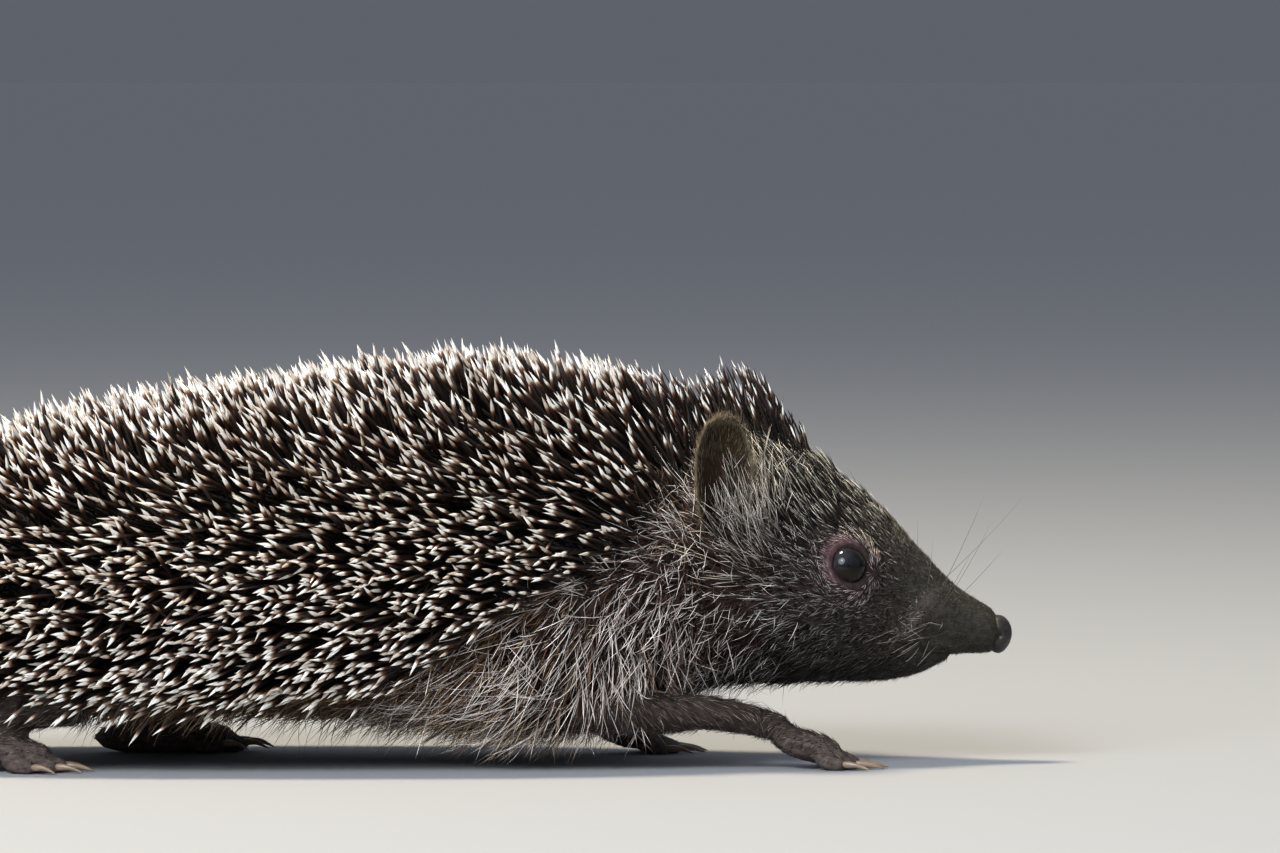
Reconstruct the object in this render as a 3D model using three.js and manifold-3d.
// A life-size hedgehog walking low, nose forward, with its right forepaw stretched out under its chin.
// Millimetres. +X is towards the nose, +Y is the animal's left, +Z is up, and the floor is z = 0.
import * as THREE from "three";
import { mergeVertices } from "three/addons/utils/BufferGeometryUtils.js";
import Module from "manifold-3d";

const wasm = await Module();
wasm.setup();

// Driving dimensions
const bodyLength = 232;
const noseX = bodyLength / 2;
const rumpX = -bodyLength / 2;
const backHeight = 79.6;
const bodyHalfWidth = 47.5;
const gap = 0.3; // left between neighbouring parts

// Where the body is parted, from rump to snout
const loinCut = -38;
const shoulderCut = 12;
const neckCut = 40;
const headCut = 53.5;
const snoutCut = 99.5;

// Rounding of the two ends. The nose pad stands proud of the snout's end.
const rumpRounding = 42;
const rumpCentreZ = 27;
const snoutEndX = noseX - 1.3;
const snoutRounding = 3.4;
const snoutCentreZ = 24.6;

// Eyes, nose pad and ears
const eyeRadius = 3.9;
const eyeCentre = [83.8, 13.6, 38.2];
const nosePadRadii = [2.8, 3.6, 3.6];
const nosePadCentre = [noseX - nosePadRadii[0], 0, 24.7];
const earBase = [61, 26.2, 44];
const earHeight = 23;
const earHalfWidth = 6.4;
const earThickness = 1.2;
const earCup = 3.6;

// Tail
const tailRoot = { at: [-97, 0, 16], radius: 3.6 };
const tailTip = { at: [-114.4, 0, 9.4], radius: 1.1 };

// Feet
const foreFoot = {
  length: 12,
  halfWidth: 5.4,
  thickness: 6,
  toeLength: 6.4,
  toeRadius: 1.75,
  clawLength: 4.8,
};
const hindFoot = {
  length: 24,
  halfWidth: 5.6,
  thickness: 6.8,
  toeLength: 7.4,
  toeRadius: 1.9,
  clawLength: 4.6,
};
const toeCount = 5;
const toeSpread = 0.2; // radians between neighbouring toes
const clawBaseRadius = 0.85;

// Facets
const bodySides = 28; // a multiple of 4, so that a corner lies at the very top and bottom
const legSides = 8;
const clawSides = 5;
const roundSides = 10; // of an eye, the nose pad and the tops of the legs, with fewer from top to bottom
const soleFacets = { around: 8, along: 6 };
const toeFacets = { around: 6, along: 4 };

const colours = {
  quills: 0x4a3c32,
  fur: 0x5c4a40,
  face: 0x4b403a,
  limb: 0x3e342e,
  ear: 0x5b4636,
  eye: 0x0b0908,
  nose: 0x15110f,
  claw: 0x6e5f50,
};

function coat(colour, roughness) {
  return new THREE.MeshStandardMaterial({ color: colour, roughness, metalness: 0 });
}

const finish = {
  quills: coat(colours.quills, 0.6),
  fur: coat(colours.fur, 0.9),
  face: coat(colours.face, 0.85),
  limb: coat(colours.limb, 0.85),
  ear: coat(colours.ear, 0.8),
  eye: coat(colours.eye, 0.1),
  nose: coat(colours.nose, 0.35),
  claw: coat(colours.claw, 0.45),
};

// Solids and meshes

function solidOf(geometry) {
  const bare = geometry.clone();
  bare.deleteAttribute("normal");
  bare.deleteAttribute("uv");
  const merged = mergeVertices(bare, 1e-4);
  return new wasm.Manifold(
    new wasm.Mesh({
      numProp: 3,
      vertProperties: merged.attributes.position.array,
      triVerts: new Uint32Array(merged.index.array),
    }),
  );
}

function meshOf(name, solid, material) {
  const made = solid.getMesh();
  const geometry = new THREE.BufferGeometry();
  geometry.setAttribute("position", new THREE.BufferAttribute(made.vertProperties, 3));
  geometry.setIndex(new THREE.BufferAttribute(made.triVerts, 1));
  geometry.computeVertexNormals();
  const mesh = new THREE.Mesh(geometry, material);
  mesh.name = name;
  return mesh;
}

// A closed solid through rings of points that all have the same count. Each end is closed by a strip
// that runs between the ring's first half and its second.
function skinOver(rings) {
  const sides = rings[0].length;
  const faces = [];
  for (let r = 0; r < rings.length - 1; r++) {
    for (let s = 0; s < sides; s++) {
      const a = r * sides + s;
      const b = r * sides + ((s + 1) % sides);
      faces.push(a, b, a + sides, b, b + sides, a + sides);
    }
  }
  const lastRing = (rings.length - 1) * sides;
  for (let low = 0, high = sides - 1; high - low > 1; low++, high--) {
    const strip = [[low, low + 1, high]];
    if (high - low > 2) strip.push([low + 1, high - 1, high]);
    for (const [a, b, c] of strip) faces.push(c, b, a, lastRing + a, lastRing + b, lastRing + c);
  }
  const places = rings.flat().flatMap((corner) => corner.toArray());
  const geometry = new THREE.BufferGeometry();
  geometry.setAttribute("position", new THREE.Float32BufferAttribute(places, 3));
  geometry.setIndex(faces);
  return solidOf(geometry);
}

// A line through [place, value] pairs that is smooth and never overshoots them.
function smoothLine(pairs) {
  const slopes = pairs.slice(1).map(([x, v], i) => (v - pairs[i][1]) / (x - pairs[i][0]));
  const tangents = pairs.map((_, i) => {
    const before = slopes[Math.max(0, i - 1)];
    const after = slopes[Math.min(slopes.length - 1, i)];
    return before * after <= 0 ? 0 : (2 * before * after) / (before + after);
  });
  return (x) => {
    let i = 0;
    while (i < pairs.length - 2 && x > pairs[i + 1][0]) i++;
    const span = pairs[i + 1][0] - pairs[i][0];
    const t = THREE.MathUtils.clamp((x - pairs[i][0]) / span, 0, 1);
    const rise = t * t * (3 - 2 * t);
    const curl = span * t * (1 - t) * ((1 - t) * tangents[i] - t * tangents[i + 1]);
    return pairs[i][1] * (1 - rise) + pairs[i + 1][1] * rise + curl;
  };
}

// The body's outline, out to the tips of its quills and fur. The crest of quills stands over the brow,
// and from it the forehead runs straight down to the snout.
const backLine = smoothLine([
  [rumpX, 61],
  [-80, 65.5],
  [-60, 70],
  [-22, 75.6],
  [12, backHeight],
  [36, 78.2],
  [54, 73.6],
  [64.5, 76.6],
  [71.5, 69.8],
  [79, 60],
  [90.5, 50.2],
  [98.5, 41.2],
  [106, 33.6],
  [noseX, 28],
]);
const underLine = smoothLine([
  [rumpX, 13],
  [-95, 8],
  [-60, 5],
  [20, 4.2],
  [36, 4.6],
  [47, 8],
  [62, 12.2],
  [78, 13.8],
  [93, 15],
  [99.5, 16.8],
  [103.5, 20],
  [noseX, 20.8],
]);
const halfWidthLine = smoothLine([
  [rumpX, 41],
  [-80, 44.5],
  [-40, bodyHalfWidth],
  [0, 46.5],
  [28, 41.5],
  [54, 31],
  [66, 26.6],
  [77, 21.6],
  [84, 16.6],
  [91, 12.2],
  [100, 8],
  [108, 5.6],
  [noseX, 4.4],
]);
const widestLine = smoothLine([
  [rumpX, 28],
  [-60, 32],
  [10, 31],
  [50, 31],
  [66, 32],
  [84, 31.5],
  [98, 27.5],
  [noseX, 24.8],
]);
// 2 gives an ellipse, less pinches the section towards its crown, more squares it.
const crownSquareness = smoothLine([
  [rumpX, 2.1],
  [20, 2.1],
  [62, 1.9],
  [80, 1.75],
  [98, 1.9],
  [noseX, 2],
]);
const underSquareness = smoothLine([
  [rumpX, 2.2],
  [-60, 2.5],
  [30, 2.4],
  [60, 2.1],
  [noseX, 2.1],
]);

// Places of the body's rings: close together where an end rounds off or the face changes fast.
function ringPlaces() {
  const places = [];
  const rumpRings = 6;
  for (let i = 0; i < rumpRings; i++) {
    const turn = (Math.PI / 2) * (0.06 + (0.94 * i) / rumpRings);
    places.push(rumpX + rumpRounding * (1 - Math.cos(turn)));
  }
  for (let x = rumpX + rumpRounding; x < 40; x += 12) places.push(x);
  for (let x = 42; x < snoutEndX - snoutRounding; x += 4.2) places.push(x);
  const noseRings = 4;
  for (let i = 0; i < noseRings; i++) {
    const turn = (Math.PI / 2) * ((0.9 * i) / (noseRings - 1));
    places.push(snoutEndX - snoutRounding * (1 - Math.sin(turn)));
  }
  return places;
}

// How far the section has closed at x: 1 along the body, 0 at its very ends.
function endRounding(x) {
  const fromRump = THREE.MathUtils.clamp((rumpX + rumpRounding - x) / rumpRounding, 0, 1);
  const fromNose = THREE.MathUtils.clamp((x - snoutEndX + snoutRounding) / snoutRounding, 0, 1);
  return Math.sqrt(1 - fromRump * fromRump) * Math.sqrt(1 - fromNose * fromNose);
}

function bodyRing(x, grown) {
  const open = endRounding(x);
  const centreZ = x < 0 ? rumpCentreZ : snoutCentreZ;
  const towardsCentre = (z) => centreZ + (z - centreZ) * open;
  const top = towardsCentre(backLine(x)) + grown;
  const under = towardsCentre(underLine(x)) - grown;
  const widest = towardsCentre(widestLine(x));
  const half = halfWidthLine(x) * open + grown;
  const ring = [];
  for (let s = 0; s < bodySides; s++) {
    const angle = (2 * Math.PI * s) / bodySides;
    const side = Math.cos(angle);
    const rise = Math.sin(angle);
    const power = 2 / (rise > 0 ? crownSquareness(x) : underSquareness(x));
    const y = half * Math.sign(side) * Math.abs(side) ** power;
    const reach = rise > 0 ? top - widest : widest - under;
    ring.push(new THREE.Vector3(x, y, widest + reach * Math.sign(rise) * Math.abs(rise) ** power));
  }
  return ring;
}

function wholeBody(grown = 0) {
  return skinOver(ringPlaces().map((x) => bodyRing(x, grown)));
}

function ellipsoid(centre, radii, grown = 0) {
  const geometry = new THREE.SphereGeometry(1, roundSides, roundSides - 3);
  geometry.rotateX(Math.PI / 2);
  geometry.scale(radii[0] + grown, radii[1] + grown, radii[2] + grown);
  geometry.translate(...centre);
  return solidOf(geometry);
}

// A round limb along a smooth curve through its joints, whose radius runs smoothly between theirs.
function limb(joints, { grown = 0, steps = 5 } = {}) {
  const curve = new THREE.CatmullRomCurve3(joints.map((j) => new THREE.Vector3(...j.at)));
  const radius = smoothLine(joints.map((j, i) => [i / (joints.length - 1), j.radius]));
  const rings = [];
  for (let i = 0; i <= steps; i++) {
    const along = i / steps;
    const centre = curve.getPoint(along);
    const forward = curve.getTangent(along);
    if (i === 0) centre.addScaledVector(forward, -grown);
    if (i === steps) centre.addScaledVector(forward, grown);
    const sideways = new THREE.Vector3(0, 1, 0).addScaledVector(forward, -forward.y).normalize();
    const upwards = new THREE.Vector3().crossVectors(forward, sideways);
    const ring = [];
    for (let s = 0; s < legSides; s++) {
      const angle = (2 * Math.PI * s) / legSides;
      const reach = radius(along) + grown;
      ring.push(
        centre
          .clone()
          .addScaledVector(sideways, reach * Math.cos(angle))
          .addScaledVector(upwards, reach * Math.sin(angle)),
      );
    }
    rings.push(ring);
  }
  return skinOver(rings);
}

// A solid block that fills a side-view outline right across the body.
function acrossBody(outline) {
  const shape = new THREE.Shape(outline.map(([x, z]) => new THREE.Vector2(x, z)));
  const geometry = new THREE.ExtrudeGeometry(shape, { depth: 2 * bodyHalfWidth, bevelEnabled: false });
  geometry.rotateX(Math.PI / 2);
  geometry.translate(0, bodyHalfWidth, 0);
  return solidOf(geometry);
}

function between(solid, fromX, toX) {
  return solid.trimByPlane([1, 0, 0], fromX + gap / 2).trimByPlane([-1, 0, 0], -(toX - gap / 2));
}

// Lower jaw: everything under the line of the closed mouth, forward of the cheek.
const mouthCorner = [91.5, 24.2];
const mouthFront = [105, 20.2];
const jawRootX = 84;

function jawBlock(grown = 0) {
  return acrossBody([
    [jawRootX - grown, 0],
    [mouthFront[0] + 2, 0],
    [mouthFront[0] + 2, mouthFront[1] + grown],
    [mouthFront[0], mouthFront[1] + grown],
    [mouthCorner[0] + 6, mouthCorner[1] - 2.4 + grown],
    [mouthCorner[0], mouthCorner[1] + grown],
    [jawRootX - grown, mouthCorner[1] - 5],
  ]);
}

// Ears: a rounded leaf, cupped, whose hollow looks outwards and forwards.
function ear(side) {
  const acrossSteps = 4;
  const upSteps = 6;
  const lean = new THREE.Vector3(-0.04, 0.1 * side, 1).normalize();
  const opening = new THREE.Vector3(0.5, 0.87 * side, 0).projectOnPlane(lean).normalize();
  const across = new THREE.Vector3().crossVectors(lean, opening);
  const base = new THREE.Vector3(earBase[0], earBase[1] * side, earBase[2]);
  const rings = [];
  for (let i = 0; i <= upSteps; i++) {
    const up = Math.min(i / upSteps, 0.985);
    const wide = up < 0.5 ? 0.74 + 0.26 * Math.sin(Math.PI * up) : Math.sqrt(1 - (2 * up - 1) ** 2);
    const place = (over, behind) => {
      const middle = 1 - over * over;
      const depth = earCup * middle * wide * (1 - 0.4 * up) + behind * earThickness * (0.6 + 0.4 * middle);
      return base
        .clone()
        .addScaledVector(lean, earHeight * up)
        .addScaledVector(across, earHalfWidth * wide * over)
        .addScaledVector(opening, -depth);
    };
    const overs = Array.from({ length: acrossSteps + 1 }, (_, j) => (2 * j) / acrossSteps - 1);
    const front = overs.map((over) => place(over, 0));
    const back = overs.toReversed().map((over) => place(over, 1));
    rings.push([...front, ...back]);
  }
  return skinOver(rings);
}

// Feet: a sole with five toes spread in a fan, flat where they rest on the floor. A foot with a raised
// heel tips forward as a whole and stands on its toes.
function footAxes(leg) {
  const forward = new THREE.Vector3(Math.cos(leg.heading), Math.sin(leg.heading), 0);
  const leftward = new THREE.Vector3(-forward.y, forward.x, 0);
  const heel = new THREE.Vector3(leg.heel[0], leg.heel[1], 0);
  const tilt = Math.asin(leg.heelLift / (leg.foot.length + leg.foot.toeLength));
  return { forward, leftward, heel, tilt };
}

function toesOf(leg) {
  const { foot, heading } = leg;
  const { forward, leftward, heel, tilt } = footAxes(leg);
  return Array.from({ length: toeCount }, (_, i) => {
    const fromMiddle = i - (toeCount - 1) / 2;
    const reach = foot.toeLength * (1 - 0.06 * fromMiddle * fromMiddle);
    const radii = [0.65 * reach, foot.toeRadius, 0.95 * foot.toeRadius];
    const angle = heading + fromMiddle * toeSpread;
    const along = new THREE.Vector3(Math.cos(angle), Math.sin(angle), 0);
    const centre = heel
      .clone()
      .addScaledVector(forward, foot.length * (0.88 - 0.035 * fromMiddle * fromMiddle))
      .addScaledVector(leftward, 0.42 * foot.halfWidth * fromMiddle)
      .addScaledVector(along, 0.35 * reach);
    centre.z = 0.82 * Math.hypot(radii[0] * Math.sin(tilt), radii[2] * Math.cos(tilt));
    const tip = centre.clone().addScaledVector(along, radii[0] * Math.cos(tilt));
    tip.z -= radii[0] * Math.sin(tilt);
    return { angle, along, centre, radii, tip };
  });
}

// An ellipsoid along the foot, with a line of its corners straight below its middle.
function turnedEllipsoid(centre, radii, { heading, tilt, grown, facets }) {
  const geometry = new THREE.SphereGeometry(1, facets.around, facets.along, Math.PI / 2);
  geometry.rotateZ(Math.PI / 2);
  geometry.scale(radii[0] + grown, radii[1] + grown, radii[2] + grown);
  geometry.rotateY(tilt);
  geometry.rotateZ(heading);
  geometry.translate(centre.x, centre.y, centre.z);
  return solidOf(geometry);
}

function footSolid(leg, grown = 0) {
  const { foot, heading } = leg;
  const { forward, heel, tilt } = footAxes(leg);
  const toes = toesOf(leg);
  const middleToe = toes[(toeCount - 1) / 2];
  const soleCentre = heel.clone().addScaledVector(forward, foot.length * 0.5);
  const behindToe = middleToe.centre.x - soleCentre.x;
  const rise = 0.45 * foot.thickness - 0.86 * foot.toeRadius;
  soleCentre.z = middleToe.centre.z + behindToe * Math.sin(tilt) + rise * Math.cos(tilt);
  const soleRadii = [0.58 * foot.length, foot.halfWidth, 0.52 * foot.thickness];
  let solid = turnedEllipsoid(soleCentre, soleRadii, { heading, tilt, grown, facets: soleFacets });
  for (const toe of toes) {
    const toeTurn = { heading: toe.angle, tilt, grown, facets: toeFacets };
    solid = solid.add(turnedEllipsoid(toe.centre, toe.radii, toeTurn));
  }
  return solid.trimByPlane([0, 0, 1], 0);
}

// A claw curves forward and down from the end of its toe and stops just above the floor.
function claw(foot, toe) {
  const rings = [];
  const steps = 2;
  const sideways = new THREE.Vector3(-toe.along.y, toe.along.x, 0);
  for (let i = 0; i <= steps; i++) {
    const out = i / steps;
    const radius = clawBaseRadius * (1 - 0.86 * out ** 1.3);
    const centre = toe.tip.clone().addScaledVector(toe.along, gap + foot.clawLength * out);
    centre.z += 0.2 + 0.5 * Math.sin(Math.PI * out) - out * out;
    centre.z = Math.max(centre.z, radius + 0.15);
    const ring = [];
    for (let s = 0; s < clawSides; s++) {
      const angle = (2 * Math.PI * s) / clawSides;
      const corner = centre.clone().addScaledVector(sideways, radius * Math.cos(angle));
      corner.z += radius * Math.sin(angle);
      ring.push(corner);
    }
    rings.push(ring);
  }
  return skinOver(rings);
}

// Stance: a long low stride, right fore and left hind reaching, left fore and right hind trailing.
// upper is the arm or thigh, lower the joints from the elbow or knee to the wrist or ankle.
const legs = [
  {
    name: "fore_right",
    foot: foreFoot,
    heel: [70, -20.5],
    heading: 0.02,
    heelLift: 5.5,
    upper: { at: [22, -27.5, 17], radii: [24, 14, 14.5] },
    lower: [
      { at: [31, -26.3, 13], radius: 6 },
      { at: [45, -24.2, 11.2], radius: 4.7 },
      { at: [60, -22, 10.8], radius: 3.6 },
      { at: [72.6, -20.8, 7.8], radius: 3 },
    ],
  },
  {
    name: "fore_left",
    foot: foreFoot,
    heel: [36, 25],
    heading: 0.14,
    heelLift: 4.5,
    upper: { at: [18, 27.5, 19], radii: [24, 14, 14.5] },
    lower: [
      { at: [11, 28.4, 14.5], radius: 6 },
      { at: [25, 27.2, 10.6], radius: 4.8 },
      { at: [38.6, 25.5, 7], radius: 3.2 },
    ],
  },
  {
    name: "hind_right",
    foot: hindFoot,
    heel: [-92, -27],
    heading: -0.12,
    heelLift: 7,
    upper: { at: [-73, -28.5, 20], radii: [21, 15, 15.5] },
    lower: [
      { at: [-61, -28.6, 15], radius: 6.6 },
      { at: [-74, -28, 12.6], radius: 5.4 },
      { at: [-87, -27, 9.4], radius: 3.9 },
    ],
  },
  {
    name: "hind_left",
    foot: hindFoot,
    heel: [-60, 27.5],
    heading: 0.14,
    heelLift: 0,
    upper: { at: [-46, 28.5, 20], radii: [21, 15, 15.5] },
    lower: [
      { at: [-32, 29.4, 16], radius: 6.6 },
      { at: [-44, 28.6, 11.6], radius: 5.4 },
      { at: [-55, 27.8, 7], radius: 4 },
    ],
  },
];

// The whole body is made first and then parted, so that its surface runs on from piece to piece.
const hedgehog = new THREE.Group();
hedgehog.name = "hedgehog";

function add(name, solid, material) {
  hedgehog.add(meshOf(name, solid, material));
}

const bodyAndGap = wholeBody(gap);
let flesh = wholeBody();

for (const leg of legs) {
  const footAndGap = footSolid(leg, gap);
  const lowerAndGap = limb(leg.lower, { grown: gap });
  const upper = ellipsoid(leg.upper.at, leg.upper.radii).subtract(footAndGap).subtract(lowerAndGap);
  const upperAndGap = ellipsoid(leg.upper.at, leg.upper.radii, gap);
  flesh = flesh.subtract(upperAndGap).subtract(footAndGap).subtract(lowerAndGap);
  add(`${leg.name}_upper`, upper, finish.fur);
  add(`${leg.name}_lower`, limb(leg.lower).subtract(footAndGap), finish.limb);
  add(`${leg.name}_foot`, footSolid(leg), finish.limb);
  toesOf(leg).forEach((toe, i) => add(`${leg.name}_claw_${i + 1}`, claw(leg.foot, toe), finish.claw));
}

for (const [name, side] of [["left", 1], ["right", -1]]) {
  const centre = [eyeCentre[0], side * eyeCentre[1], eyeCentre[2]];
  const radii = [eyeRadius, eyeRadius, eyeRadius];
  add(`eye_${name}`, ellipsoid(centre, radii), finish.eye);
  flesh = flesh.subtract(ellipsoid(centre, radii, gap));
  add(`ear_${name}`, ear(side).subtract(bodyAndGap), finish.ear);
}

add("nose_pad", ellipsoid(nosePadCentre, nosePadRadii), finish.nose);
flesh = flesh.subtract(ellipsoid(nosePadCentre, nosePadRadii, gap));

add("lower_jaw", flesh.intersect(jawBlock()), finish.face);
flesh = flesh.subtract(jawBlock(gap));

add("trunk_rear", flesh.trimByPlane([-1, 0, 0], -(loinCut - gap / 2)), finish.quills);
add("trunk_middle", between(flesh, loinCut, shoulderCut), finish.quills);
add("shoulders", between(flesh, shoulderCut, neckCut), finish.quills);
add("neck", between(flesh, neckCut, headCut), finish.fur);
add("head", between(flesh, headCut, snoutCut), finish.face);
add("snout", flesh.trimByPlane([1, 0, 0], snoutCut + gap / 2), finish.face);
add("tail", limb([tailRoot, tailTip], { steps: 4 }).subtract(bodyAndGap), finish.limb);

export default hedgehog;
